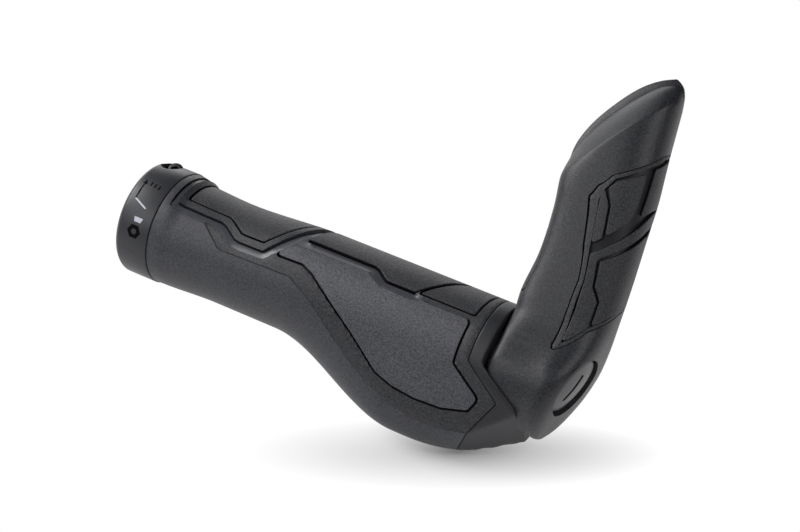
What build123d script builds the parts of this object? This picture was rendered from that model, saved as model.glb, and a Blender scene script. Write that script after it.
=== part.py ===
from build123d import *
import os
from math import atan2, cos, exp, hypot, pi, radians, sin

# Right-hand locking handlebar grip with a palm wing and an upright bar end ("horn").
# Working frame: +X outboard along the handlebar, +Y the way the horn points, +Z out of
# the palm face.  Everything is turned by TILT about the bar axis when it is written, so
# that the palm face leans back to the rider and the horn points forward and up.
TILT = 45

# Handlebar and its bores
CLAMP_BORE = 11.15            # radius, both clamps, on a 22.2 mm handlebar
CORE_BORE = 11.2
BORE_LEAD = 0.4               # chamfer at the mouths of the bores

# Inner clamp ring
CLAMP_START = -1.0
CLAMP_END = 11.0
CLAMP_RADIUS = 17.5
CLAMP_NOSE = 14.0             # radius of the inboard face, inside the rounded rim
CLAMP_RIM = 2.4               # length of that rounding along the bar
CLAMP_SLIT_ANGLE = -25        # degrees from +Y towards +Z
CLAMP_SLIT = 1.5
CLAMP_BOLT_X = 3.2
CLAMP_BOLT_OFFSET = 13.4      # bolt axis to bar axis
CLAMP_BOLT_HEAD = 8.6         # head's face to the slit
TAB_COUNT = 4
TAB_LENGTH = 1.7
TAB_ARC = 24                  # degrees
TAB_INNER = 12.2
TAB_OUTER = 14.2

# Grip body
GRIP_START = CLAMP_END
GRIP_END = 136.0
GRIP_RADIUS = 16.3
WAIST_DEPTH = 1.4
WING_REACH = 14.0             # how far the wing stands beyond the round grip
WING_ANGLE = 182
WING_START = 53.0
WING_FULL = 98.0
WING_PEAK = 101.0
WING_FALL = 38.0
SPREAD_TOP = 35               # degrees, how wide the wing's shoulder is on each side
SPREAD_UNDER = 28
CORE_RADIUS = 12.8
CORE_END = 121.0
SPIGOT_RADIUS = 12.8
SPIGOT_LENGTH = 3.0
NECK_CLEARANCE = 15.8         # radius of the hollow that the tail leaves for the horn's neck
PAD_DEPTH = 1.4
PAD_GAP = 0.2

# Horn
HORN_START = CORE_END + 0.5
HORN_BORE_END = 138.5
EYE_RADIUS = 16.2
NECK_RADIUS = 15.5
NECK_END = 135.5
INSERT_DEPTH = 2.0
HORN_PAD_DEPTH = 1.2
SLIT_ANGLE = -50
HORN_SLIT = 2.0
LUG_X = 134.0
LUG_WIDTH = 14.0
LUG_HEAD_SIDE = 11.0          # how far the lug reaches towards the screw's head
LUG_NUT_SIDE = 13.0
HORN_BOLT_OFFSET = 17.2
DISC_RADIUS = 9.0
DISC_CENTRE = (144.7, 1.2, 0)
DISC_LEAN = 17                # degrees that the outboard face leans down

# Screws: shank radius, head radius, head height, hexagon across flats
M3 = (1.5, 2.75, 3.0, 2.5)
M5 = (2.5, 4.25, 5.0, 4.0)
SCREW_PLAY = 0.05

# Plan outlines (x, y) of the grip's outboard end
SEAM = [(116.8, 25), (116.8, -3), (128, -11.2), (116.5, -31), (116.5, -40)]
EDGE = [(121, 25), (121, -2.4), (133.4, -11.2), (134.8, -13.6), (134.8, -40)]

# Pad outlines: the palm pad in plan (x, y), the others as (x, w), where w is the arc
# length round the grip from its palm line towards the front.
PALM_PAD = [(50, 3.6), (55, 8.8), (79, 9.2), (84, 6.8), (94.5, 6.5), (97, 7.4), (113.3, 7.4),
            (113.3, -5.1), (123.2, -12), (120.9, -16.6), (113, -18.8), (104.5, -19.2),
            (97, -18.4), (90.9, -16.5), (79.7, -8.1), (64, 2.4), (60, 3.9)]
INNER_PAD = [(16.3, 33), (16.3, 19), (17, 11), (18, 10), (31.5, 10), (38, 5.9), (46, 5.9),
             (54.5, 21), (59, 33)]
MIDDLE_PAD = [(62, 33), (57, 14), (57, 12.6), (79.5, 12.6), (85, 9), (94.5, 9), (103, 22),
              (108.5, 33)]
OUTER_PAD = [(110.7, 33), (105, 22), (97.2, 9.5), (113.6, 9.5), (114.4, 22), (114.4, 33)]
WRAP_CENTRE = 18.0            # value of w that faces the pad prisms

# Horn sections: height, centre x, half width, half thickness
HORN_SECTIONS = [(0, 134.2, 12.6, 14.5), (12, 134.2, 13.2, 11.9), (20, 133.7, 13.8, 11.2),
                 (32, 133.9, 13.4, 10.8), (45, 133.0, 13.4, 10.6), (58, 131.5, 13.8, 10.5),
                 (64, 131.2, 13.5, 10.2), (70, 131.6, 12.0, 9.6), (78, 133.2, 9.4, 7.9),
                 (84, 135.2, 6.8, 5.9), (88, 136.9, 4.2, 3.8), (90.5, 137.8, 1.8, 1.6)]
SQUARENESS = 2.2              # exponent of the superellipse sections

# Plan outline of the eye, which leans the outboard face and rounds the heel
EYE_PLAN = [(HORN_START, -20), (132, -20), (132, -16.4), (137.2, -15.4), (140.2, -12.6),
            (143.4, -4.2), (146.2, 4.6), (147.5, 12), (147.6, 22), (HORN_START, 22)]

# Horn rubber outlines in plan (x, y)
INSERT = [(152, 74), (143.5, 68.6), (140.4, 63.7), (134, 58.6), (131.2, 54.8),
          (130.7, 51), (132.2, 44), (136, 28), (136, 9.5), (137.8, 8.2), (152, 26)]
SPINE_PAD = [(133, 53), (135.2, 38.6), (137.4, 40.6), (135.6, 50.6)]
UPPER_PAD = [(133.9, 54.6), (142.3, 62.8), (143.8, 50.4), (138.3, 41.6), (136.3, 50.8)]
EDGE_PAD = [(143.4, 64), (152, 72), (152, 56), (144.9, 50.8)]
LOWER_PAD = [(139.7, 35.6), (152, 55), (152, 25), (144.2, 16.6), (143.9, 24.8), (141.1, 28.1)]
SIDE_PAD = [(137.4, 34.6), (138.8, 35.2), (140.2, 28), (143, 24.4), (143.2, 15.6), (138.3, 10),
            (137.2, 20.6), (137.4, 28)]
FINGER_PAD = [(110, 38), (121.6, 38), (123, 33), (123.8, 27), (122.6, 21), (110, 21)]


def smooth(value, low, high):
    """0 below low, 1 above high, and an eased step between."""
    t = min(max((value - low) / (high - low), 0.0), 1.0)
    return t * t * (3 - 2 * t)


def wing_reach(x):
    """How far the wing stands out of the round grip at x."""
    past = max(x - WING_PEAK, 0) / WING_FALL
    return WING_REACH * smooth(x, WING_START, WING_FULL) * (1 - past ** 2.3)


def skin_radius(x, angle):
    """Radius of the grip's skin at an angle in degrees from +Y towards +Z."""
    waist = WAIST_DEPTH * smooth(x, 14, 18) * (1 - smooth(x, 32, 62))
    off = (angle - WING_ANGLE + 180) % 360 - 180
    spread = SPREAD_UNDER if off > 0 else SPREAD_TOP
    front = 0.5 + 0.5 * cos(radians(angle))
    return GRIP_RADIUS - waist * front + wing_reach(x) * exp(-((off / spread) ** 2))


def skin_point(x, angle, inset):
    """Point (y, z) of the grip's section, moved inward along the normal."""
    here, ahead = [(skin_radius(x, a) * cos(radians(a)), skin_radius(x, a) * sin(radians(a)))
                   for a in (angle, angle + 0.5)]
    dy, dz = ahead[0] - here[0], ahead[1] - here[1]
    length = hypot(dy, dz)
    return here[0] - inset * dz / length, here[1] + inset * dy / length


def skin_solid(inset):
    """The grip's outer form, or the same form a little smaller."""
    rings = []
    for x in [GRIP_START, 14, 16, 18, 26, 34, 43, 53, 62, 71, 80, 89, 98, 107, 116, 126, GRIP_END]:
        points = [(x, *skin_point(x, angle, inset)) for angle in range(0, 360, 10)]
        rings.append(Wire([Edge.make_spline([Vector(*p) for p in points], periodic=True)]))
    return Solid.make_loft(rings)


def along_bar(radius, start, end):
    """Cylinder on the bar axis from x = start to x = end."""
    return Plane.YZ.offset((start + end) / 2) * Cylinder(radius, end - start)


def bore(radius, start, end, blind=False):
    """Hole on the bar axis with a chamfer at each mouth."""
    points = [(start, 0), (start, radius + BORE_LEAD), (start + BORE_LEAD, radius)]
    points += [(end, radius)] if blind else [(end - BORE_LEAD, radius), (end, radius + BORE_LEAD)]
    return revolve(make_face(Polyline(*points, (end, 0), close=True)), Axis.X)


def plan_prism(outline, low=-40, high=40):
    """Outline (x, y) made solid from z = low to z = high."""
    return Pos(0, 0, low) * extrude(make_face(Polyline(*outline, close=True)), high - low)


def grown(outline, gap):
    """The same outline, moved outward by gap."""
    face = make_face(Polyline(*outline, close=True))
    return offset(face, gap, kind=Kind.INTERSECTION)


def wrapped_prism(outline, gap=0.0):
    """Solid that stands on the front of the grip over an outline given as (x, w)."""
    turn = WRAP_CENTRE / GRIP_RADIUS
    flat = [(x, GRIP_RADIUS * sin((w - WRAP_CENTRE) / GRIP_RADIUS)) for x, w in outline]
    plane = Plane(origin=(0, 0, 0), x_dir=(1, 0, 0), z_dir=(0, sin(turn), cos(turn)))
    return plane * extrude(grown(flat, gap), 30)


def palm_prism(outline, gap=0.0, low=0, high=40):
    """Solid that stands on the palm side over an outline given in plan."""
    return Pos(0, 0, low) * extrude(grown(outline, gap), high - low)


def screw(size, length):
    """Socket head screw: the head's top face at z = 0, the shank downward."""
    shank, head, height, hexagon = size
    body = Pos(0, 0, -height / 2) * Cylinder(head, height)
    body = chamfer(body.edges().group_by(Axis.Z)[-1], 0.35)
    body += Pos(0, 0, -height - length / 2) * Cylinder(shank, length)
    socket = extrude(RegularPolygon(hexagon / 2, 6, major_radius=False), -height * 0.6)
    return body - socket


def screw_space(size, length, pocket, reach):
    """Clearance hole and open pocket for a screw, in the screw's own frame."""
    shank, _, height, _ = size
    hole = Pos(0, 0, -height - length / 2 + 0.1) * Cylinder(shank + SCREW_PLAY, length + 0.8)
    return hole + Pos(0, 0, (reach - height) / 2) * Cylinder(pocket, reach + height)


def clamp_bolt_plane():
    """Frame of the inner clamp's screw: z out of its head."""
    angle = radians(CLAMP_SLIT_ANGLE)
    out = Vector(0, cos(angle), sin(angle))
    along = Vector(0, -sin(angle), cos(angle))
    centre = Vector(CLAMP_BOLT_X, 0, 0) + out * CLAMP_BOLT_OFFSET + along * CLAMP_BOLT_HEAD
    return Plane(origin=centre, x_dir=(1, 0, 0), z_dir=along)


def inner_clamp():
    """Split ring with a rounded inboard rim, a screw pocket and notches for the core."""
    rim_end = CLAMP_START + CLAMP_RIM
    face = Polyline((rim_end, CLAMP_RADIUS), (CLAMP_END, CLAMP_RADIUS), (CLAMP_END, 0),
                    (CLAMP_START, 0), (CLAMP_START, CLAMP_NOSE))
    rim = Spline((CLAMP_START, CLAMP_NOSE), (rim_end, CLAMP_RADIUS), tangents=[(0, 1), (1, 0)])
    ring = revolve(make_face(face.edges() + rim.edges()), Axis.X)
    ring -= bore(CLAMP_BORE, CLAMP_START, CLAMP_END)
    slit = Rot(CLAMP_SLIT_ANGLE, 0, 0) * Pos(CLAMP_END / 2, 15, 0) * Box(20, 10, CLAMP_SLIT)
    ring -= slit
    ring -= clamp_bolt_plane() * screw_space(M3, 10, 3.1, 12)
    for index in range(TAB_COUNT):
        ring -= clamp_tab(index, play=0.15)
    return ring


def clamp_tab(index, play=0.0):
    """One of the core's drive tabs, which sit in the clamp's outboard face."""
    inner, outer = TAB_INNER - play, TAB_OUTER + play
    arc = TAB_ARC + play * 8
    blank = along_bar(outer, CLAMP_END - TAB_LENGTH - play, CLAMP_END)
    blank -= along_bar(inner, 0, 20)
    wedge = Wire.make_polygon([Vector(0, 0, 0),
                               Vector(0, 30, 30 * sin(radians(arc / 2))),
                               Vector(0, 30, -30 * sin(radians(arc / 2)))], close=True)
    wedge = extrude(Face(wedge), 20, dir=(1, 0, 0))
    return blank & (Rot(index * 360 / TAB_COUNT + 20, 0, 0) * wedge)


def core_support():
    """What the rubber sleeve is moulded round: the tube, its end ring and the wing's web."""
    body = along_bar(CORE_RADIUS, GRIP_START, CORE_END)
    body += along_bar(TAB_OUTER, GRIP_START, GRIP_START + 2)
    web = Polyline((68, -10), (78, -17), (92, -24), (112, -24), (118, -18), (118, -10), close=True)
    body += Pos(0, 0, -2) * extrude(make_face(web), 3)
    return body


def grip_core(skin):
    """Stiff nylon core with drive tabs, wing web and the bare outboard bezel and tail."""
    beyond_seam = plan_prism(SEAM + [(150, -40), (150, 25)])
    inside_edge = plan_prism(EDGE + [(60, -40), (60, 25)])
    bezel = skin & beyond_seam & inside_edge
    bezel -= along_bar(NECK_CLEARANCE, CORE_END, 150)
    body = core_support() + bezel
    body += along_bar(SPIGOT_RADIUS, CORE_END - 1, CORE_END + SPIGOT_LENGTH)
    for index in range(TAB_COUNT):
        body += clamp_tab(index)
    return body - bore(CORE_BORE, GRIP_START, CORE_END + SPIGOT_LENGTH)


def grip_pads(skin, floor):
    """The four raised pads that are moulded into the sleeve."""
    shell = skin - floor
    return {
        "palm_pad": shell & palm_prism(PALM_PAD, -PAD_GAP),
        "inner_top_pad": shell & wrapped_prism(INNER_PAD, -PAD_GAP),
        "middle_top_pad": shell & wrapped_prism(MIDDLE_PAD, -PAD_GAP),
        "outer_top_pad": shell & wrapped_prism(OUTER_PAD, -PAD_GAP),
    }


def grip_sleeve(skin, floor):
    """Rubber sleeve over the core, with a pocket for each pad."""
    body = skin & plan_prism(SEAM + [(0, -40), (0, 25)])
    body -= core_support()
    body -= along_bar(NECK_CLEARANCE, CORE_END, 150)
    for prism in [palm_prism(PALM_PAD)] + [wrapped_prism(p) for p in (INNER_PAD, MIDDLE_PAD, OUTER_PAD)]:
        body -= prism - floor
    return body


def horn_ring(height, centre, width, thickness):
    """One superellipse section of the horn."""
    points = []
    for step in range(24):
        a = 2 * pi * step / 24
        c, s = cos(a), sin(a)
        x = width * abs(c) ** (2 / SQUARENESS) * (1 if c >= 0 else -1)
        z = thickness * abs(s) ** (2 / SQUARENESS) * (1 if s >= 0 else -1)
        points.append(Vector(centre + x, height, z))
    return Wire([Edge.make_spline(points, periodic=True)])


def horn_form(inset):
    """The horn and its eye as one closed form, or a little smaller."""
    rings = [horn_ring(h, c, w - inset, t - inset)
             for h, c, w, t in HORN_SECTIONS if min(w, t) - inset > 0.8]
    stem = Solid.make_loft(rings)
    eye = along_bar(EYE_RADIUS - inset, NECK_END, 150) + along_bar(NECK_RADIUS - inset, HORN_START, 150)
    return stem + (eye & plan_prism(EYE_PLAN))


def lug_plane():
    """Frame of the horn's clamp lug: z out from the bar axis, y towards the screw's head."""
    a = radians(SLIT_ANGLE)
    return Plane(origin=(LUG_X, 0, 0), x_dir=(1, 0, 0), z_dir=(0, cos(a), sin(a)))


def horn_bolt_plane():
    """Frame of the horn's clamp screw: z out of its head."""
    lug = lug_plane()
    centre = lug.from_local_coords(Vector(0, LUG_HEAD_SIDE, HORN_BOLT_OFFSET))
    return Plane(origin=centre, x_dir=(1, 0, 0), z_dir=lug.y_dir)


def nut_place():
    """Where the barrel nut lies, its axis along X."""
    return lug_plane() * Pos(0, -8, HORN_BOLT_OFFSET) * Rot(0, 90, 0)


def disc_plane():
    """Frame of the disc in the horn's outboard face."""
    lean = radians(DISC_LEAN)
    return Plane(origin=DISC_CENTRE, x_dir=(0, 0, 1), z_dir=(cos(lean), -sin(lean), 0))


def horn_core(form, insert_floor, finger_floor):
    """Stiff horn: clamp eye, lug and stem, with pockets for its rubber and hardware."""
    body = form
    lug = fillet(Box(LUG_WIDTH, LUG_HEAD_SIDE + LUG_NUT_SIDE, 14.5).edges().filter_by(Axis.X), 3)
    body += lug_plane() * Pos(0, (LUG_HEAD_SIDE - LUG_NUT_SIDE) / 2, 15.25) * lug
    spigot_end = CORE_END + SPIGOT_LENGTH + 0.3
    body -= bore(CLAMP_BORE, spigot_end, HORN_BORE_END, blind=True)
    body -= along_bar(SPIGOT_RADIUS + 0.06, 100, spigot_end)
    body -= along_bar(100, 80, HORN_START) & plan_prism([(80, -30), (HORN_START, -30), (HORN_START, 17), (80, 17)])
    body -= lug_plane() * Pos(-5, 0, 18) * Box(30, HORN_SLIT, 16)
    body -= horn_bolt_plane() * Pos(0, 0, -1) * screw_space(M5, 18, 4.6, 6)
    body -= nut_place() * Pos(0, 0, -7) * Cylinder(4.05, 28)
    body -= disc_plane() * Pos(0, 0, 3.5) * Cylinder(DISC_RADIUS + 0.15, 10)
    body -= palm_prism(INSERT, low=-4) - insert_floor
    body -= palm_prism(FINGER_PAD, low=-6) - finger_floor
    return body


def horn_rubber(form, insert_floor, pad_floor):
    """The horn's rubber insert and the raised pads in it."""
    pads = {"horn_spine_pad": SPINE_PAD, "horn_upper_pad": UPPER_PAD, "horn_edge_pad": EDGE_PAD,
            "horn_lower_pad": LOWER_PAD, "horn_side_pad": SIDE_PAD}
    insert = (form & palm_prism(INSERT, -0.1, low=-4)) - insert_floor
    pieces = {}
    for name, outline in pads.items():
        pieces[name] = (insert & palm_prism(outline, -PAD_GAP / 2, low=-2)) - pad_floor
        insert -= palm_prism(outline, PAD_GAP / 2, low=-2 - PAD_GAP) - pad_floor
    pieces["horn_insert"] = insert
    pieces["horn_finger_pad"] = (form & palm_prism(FINGER_PAD, -0.1, low=-5.9)) - pad_floor
    return pieces


def clamp_hardware():
    """Screws, washer, barrel nut and disc, each where it sits."""
    nut = Cylinder(4.0, 14)
    nut -= Rot(90, 0, 0) * Cylinder(M5[0] + SCREW_PLAY, 20)
    disc = Pos(0, 0, -0.6) * Cylinder(DISC_RADIUS, 1.8)
    disc = fillet(disc.edges().group_by(Axis.Z)[-1], 0.4)
    disc -= Pos(2.2, 0, 0.3) * Box(1.2, 9, 0.8)
    washer = Pos(0, 0, -M5[2] - 0.5) * (Cylinder(4.4, 1.0) - Cylinder(M5[0] + 0.2, 1.0))
    return {
        "inner_clamp_bolt": clamp_bolt_plane() * screw(M3, 10),
        "horn_clamp_bolt": horn_bolt_plane() * screw(M5, 17),
        "horn_clamp_washer": horn_bolt_plane() * washer,
        "horn_clamp_nut": nut_place() * nut,
        "end_disc": disc_plane() * disc,
    }


def build():
    """Every sub-part by name, in the working frame."""
    skin, floor = skin_solid(0), skin_solid(PAD_DEPTH)
    form, insert_floor, pad_floor = [horn_form(d) for d in (0, INSERT_DEPTH, HORN_PAD_DEPTH)]
    parts = {"inner_clamp": inner_clamp(), "grip_core": grip_core(skin),
             "grip_sleeve": grip_sleeve(skin, floor),
             "horn_core": horn_core(form, insert_floor, pad_floor)}
    parts.update(grip_pads(skin, floor))
    parts.update(horn_rubber(form, insert_floor, pad_floor))
    parts.update(clamp_hardware())
    return parts


os.makedirs("parts", exist_ok=True)
for name, shape in build().items():
    turned = Compound(children=list(shape.solids())).rotate(Axis.X, TILT)
    export_step(turned, f"parts/{name}.step")
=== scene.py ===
import math

import bpy
import bmesh
import numpy as np
from mathutils import Matrix, Vector
from mathutils.geometry import delaunay_2d_cdt


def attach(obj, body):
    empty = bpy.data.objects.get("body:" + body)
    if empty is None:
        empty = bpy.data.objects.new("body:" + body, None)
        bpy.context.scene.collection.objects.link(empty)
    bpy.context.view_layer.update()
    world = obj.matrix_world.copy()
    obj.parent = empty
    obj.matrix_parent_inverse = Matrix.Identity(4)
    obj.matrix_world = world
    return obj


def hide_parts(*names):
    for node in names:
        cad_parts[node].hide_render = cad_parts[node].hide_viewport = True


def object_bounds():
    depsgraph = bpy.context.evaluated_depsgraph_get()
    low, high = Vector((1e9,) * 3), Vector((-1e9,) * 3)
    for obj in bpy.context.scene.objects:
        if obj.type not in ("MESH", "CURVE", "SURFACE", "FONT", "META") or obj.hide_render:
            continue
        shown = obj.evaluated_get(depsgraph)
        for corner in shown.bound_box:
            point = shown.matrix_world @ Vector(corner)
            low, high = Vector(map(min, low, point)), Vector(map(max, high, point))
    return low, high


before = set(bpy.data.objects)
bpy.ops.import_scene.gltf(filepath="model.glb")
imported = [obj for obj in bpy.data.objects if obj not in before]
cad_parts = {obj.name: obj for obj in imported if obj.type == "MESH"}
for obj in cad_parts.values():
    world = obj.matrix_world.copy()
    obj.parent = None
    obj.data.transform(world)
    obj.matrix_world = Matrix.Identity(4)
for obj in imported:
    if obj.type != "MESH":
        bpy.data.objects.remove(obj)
cad_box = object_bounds()

# The shapes are worked out in the part's working frame, in millimetres: x outboard along
# the bar, y the way the horn points, z out of the palm face.  TILT turns that frame about
# the bar axis into the row's frame.
TILT = 45.0
TO_ROW = Matrix.Rotation(math.radians(TILT), 4, "X") @ Matrix.Scale(0.001, 4)

# ------------------------------------------------------------------ sizes, mm and degrees

# Grip
SEAM_X = 11.0
GRIP_RADIUS = 16.3
WAIST_DEPTH, FLARE = 1.4, 0.9
WING_REACH, WING_ANGLE, WING_START, WING_FULL, WING_PEAK, WING_FALL = 14.0, 182, 53, 98, 101, 38
SPREAD_TOP, SPREAD_UNDER = 35, 28
CORE_RADIUS, CORE_BORE, CORE_END = 12.8, 11.2, 121.0
SPIGOT_LENGTH = 3.0
NECK_CLEARANCE = 15.8
FACET_NORMAL, FACET_REACH = (0.535, -0.774, 0.339), 84.9
HALF_ROUND = math.pi * GRIP_RADIUS

# Clamp ring
CLAMP_START, CLAMP_BORE, CLAMP_RADIUS, CLAMP_NOSE, CLAMP_RIM = -1.0, 11.15, 17.5, 14.0, 2.4
CLAMP_SLIT_ANGLE, CLAMP_SLIT = -25.0, 1.5
CLAMP_BOLT_X, CLAMP_BOLT_OFFSET, CLAMP_BOLT_HEAD = 3.2, 13.4, 8.6

# Horn
HORN_START, EYE_BASE, HORN_BORE_END = 121.5, 15.5, 138.5
SLIT_ANGLE, HORN_SLIT, LUG_X, HORN_BOLT_OFFSET = -50.0, 2.0, 134.0, 17.2
LUG_WIDTH, LUG_HEAD_SIDE, LUG_NUT_SIDE = 14.0, 11.0, 13.0
DISC_RADIUS, DISC_CENTRE, DISC_LEAN = 9.0, (143.2, 1.1, 4.5), 17.0
TAB_LENGTH, TAB_INNER, TAB_OUTER, TAB_ARC = 1.7, 12.2, 14.2, 24.0
M3, M5 = (1.5, 2.75, 3.0, 2.5), (2.5, 4.25, 5.0, 4.0)
HORN_GIRTH = 13.5             # radius that turns the angle round the horn into a length
HORN_EDGE = HORN_GIRTH * math.pi / 2

# Reliefs
PAD_DEPTH, GROOVE, EDGE_ROUND = 1.35, 0.6, 0.22
# The last of these is the width of the line of painted shade along the foot of the channel's walls.
RIVER_DEPTH, BANK, SHADE_WIDTH = 0.95, 0.14, 0.42
CUT_WALL, STRIP_WALL = 0.08, 0.15      # how far a pocket's and the strip's walls lean in
LINE_DEPTH, FIELD_LINE_HALF, BANK_LINE_HALF = 0.2, 0.22, 0.2      # the fine outline grooves
SEAM_LIP, PALM_LIP, PALM_LIP_HALF = 0.3, 0.3, 0.5
CHANNEL_START = 13.4
INSERT_DEPTH, HORN_FLOOR, FINGER_DEPTH = 1.9, 1.1, 1.2

# Outlines of the grip.  Plan outlines are (x, y), seen square to the palm face.  The others
# are (x, w), where w is the length round the grip from its palm line towards the front.
SEAM_PLAN = [(116.8, 40), (116.8, -3), (128, -11.2), (116.5, -31), (116.5, -60)]
EDGE_PLAN = [(121, 40), (121, -2.4), (133.4, -11.2), (134.8, -13.6), (134.8, -60)]
PALM_TOP = [(50, 3.6), (55, 8.8), (79, 9.2), (84, 6.8), (94.5, 6.5), (97, 7.4), (113.3, 7.4)]
PALM_REST = [(113.3, -5.1), (123.2, -12), (120.9, -16.6), (113, -18.8), (104.5, -19.2),
             (97, -18.4), (90.9, -16.5), (79.7, -8.1), (64, 2.4), (60, 3.9)]
FIELD_LINE = [(25.6, 4.9), (33.2, -0.6), (34.4, -0.9), (58, -0.4), (64.6, -3.7), (69.5, -6.9),
              (76.9, -12.5), (84.3, -17.4), (90, -20.4), (97, -23), (105, -24.2),
              (114, -23.8), (121.4, -22.2)]
FAR_SIDE = 36.5
CHANNEL_OUT = [(CHANNEL_START, FAR_SIDE), (CHANNEL_START, 5.5), (30, 5.4), (32.2, 4.4),
               (36.7, 1.5), (39.2, 1.1), (47.8, 1.4), (50, 3.6)]
STRIP = [(15.2, FAR_SIDE), (15.2, 7.6), (30.5, 7.6), (32.6, 6.8), (36.9, 3.9), (38.4, 3.6),
         (46.8, 3.6), (49.5, 7.3), (52.5, 11.9), (55.6, 17.8), (57.5, 22.8), (61, FAR_SIDE)]
INNER_PAD = [(17, 33), (17, 10), (31.5, 10), (33.2, 9.2), (37.8, 6.1), (39.2, 5.9), (46, 5.9),
             (48.5, 9.3), (51.3, 14), (54, 19.4), (55.8, 25), (57.6, 33)]
MIDDLE_PAD = [(62, 33), (57, 14), (57, 12.5), (79.5, 12.5), (80.8, 12), (84.6, 9.2), (85.8, 9),
              (94.5, 9), (95.6, 10.3), (99.5, 15.6), (103.3, 21.6), (109, 33)]
OUTER_PAD = [(109, 33), (103.3, 21.6), (99.5, 15.6), (95.6, 10.3), (95.6, 9.2), (113.6, 9.2),
             (114.4, 22), (114.4, 33)]

# Horn stations: v up the horn, inboard edge, outboard edge, half thickness, squareness
HORN = [(-24.4, 128.5, 137.0, 0.2, 3.0), (-22, 124.6, 138.6, 2.9, 3.4),
        (-17, 122.4, 139.9, 7.5, 4.0), (-8, 121.6, 142.4, 13.6, 4.6), (0, 121.5, 144.9, 15.5, 4.6),
        (8, 121.4, 147.0, 13.4, 4.0), (14, 120.9, 147.7, 11.9, 3.4), (20, 120.2, 147.8, 11.2, 2.9),
        (32, 120.9, 147.4, 10.8, 2.6), (45, 119.9, 146.5, 10.6, 2.5), (58, 117.7, 145.5, 10.6, 2.5),
        (64, 117.6, 144.7, 10.6, 2.4), (70, 119.3, 143.9, 10.4, 2.3), (78, 123.7, 143.0, 9.4, 2.2),
        (84, 128.2, 142.3, 7.8, 2.1), (88, 132.1, 141.4, 5.9, 2.0), (90.3, 134.7, 140.4, 4.0, 2.0),
        (92, 137.0, 138.9, 1.4, 2.0), (92.6, 137.8, 138.2, 0.2, 2.0)]
TIP_SQUASH = (84.0, 92.6, 2.1)      # above this v the horn rises that much less in all
TIP_CREASE, TIP_FALL = ((120.6, 56.2), (141.9, 84.2)), 0.68    # the thumb facet's edge in plan

# Horn outlines in plan (x, y); an x beyond the horn's outboard edge wraps round it.
WRAP = 160.0
INSERT = [(WRAP - 5.5, 75), (WRAP - 12, 71.4), (143.5, 68.6), (140.6, 63.9), (134, 58.8),
          (131.2, 54.8), (130.7, 51), (132.2, 44), (133.4, 38), (135.9, 28.4), (136.1, 20.5),
          (136.1, 9.4), (136.9, 8), (143.9, 16.2), (WRAP - 12.4, 22.4), (WRAP - 5.5, 30)]
SPINE_PAD = [(132.8, 53.2), (133.6, 48), (135.4, 38.9), (137.8, 41.4), (136.1, 50.3), (133.6, 54.2)]
UPPER_PAD = [(134.2, 55), (136, 57.6), (142.1, 62.4), (143.2, 52.4), (142.7, 48.4), (138.4, 42),
             (136.7, 50.6)]
EDGE_PAD = [(143.5, 64.6), (WRAP - 12, 69.2), (WRAP - 7, 72), (WRAP - 7, 60), (WRAP - 12, 55),
            (144.6, 50.9)]
SIDE_PAD = [(136.3, 36.4), (145.9, 51), (WRAP - 7, 58.6), (WRAP - 7, 54.4), (146.3, 47.6),
            (139.5, 36.1), (138.9, 34.9), (140.3, 28.1), (142.9, 24.7), (143.3, 17.2),
            (138.2, 10.9), (138.4, 20.6), (137.7, 28.3)]
LOWER_PAD = [(139.7, 35.3), (146.6, 46.6), (WRAP - 7, 53.4), (WRAP - 7, 30.4), (WRAP - 12.4, 24),
             (143.9, 17.9), (143.5, 24.9), (140.9, 28.4)]
FINGER_PAD = [(121.9, 39.4), (123.6, 33), (124.5, 27.4), (123.2, 20.5), (108, 17.5), (108, 41.5)]


# Camera in the working frame, its lens in mm; soft boxes in metres
CAMERA_PLACE, CAMERA_TURN, CAMERA_ROLL, LENS = (280.3, 14.1, 506.3), 21.4, 21.7, 85
LIGHT_REACH, LIGHT_SIZE = 0.9, 0.5


# ------------------------------------------------------------------ outlines in two dimensions

def eased(value, low, high):
    """0 below low, 1 above high, and an eased step between."""
    t = np.clip((np.asarray(value, float) - low) / (high - low), 0, 1)
    return t * t * (3 - 2 * t)


def rounded(points, radius, step=0.6, closed=True):
    """The outline with its corners rounded and its points about step apart."""
    p = np.asarray(points, float)
    n = len(p)
    line = []
    for i in range(n):
        if not closed and i in (0, n - 1):
            line.append(p[i])
            continue
        before, after = p[i - 1] - p[i], p[(i + 1) % n] - p[i]
        a, b = np.linalg.norm(before), np.linalg.norm(after)
        turn = math.pi - math.acos(np.clip(before @ after / (a * b), -1, 1))
        reach = min(radius * math.tan(turn / 2), 0.45 * a, 0.45 * b)
        start, end = p[i] + before / a * reach, p[i] + after / b * reach
        count = 1 if turn < 0.05 else max(3, int(turn * 4))
        for t in np.linspace(0, 1, count + 1) if count > 1 else [0.5]:
            line.append((1 - t) ** 2 * start + 2 * t * (1 - t) * p[i] + t * t * end)
    pairs = zip(line, line[1:] + ([line[0]] if closed else []))
    out = []
    for a, b in pairs:
        pieces = max(1, int(round(np.linalg.norm(b - a) / step)))
        out += [a + (b - a) * k / pieces for k in range(pieces)]
    if not closed:
        out.append(line[-1])
    return np.array(out)


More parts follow.
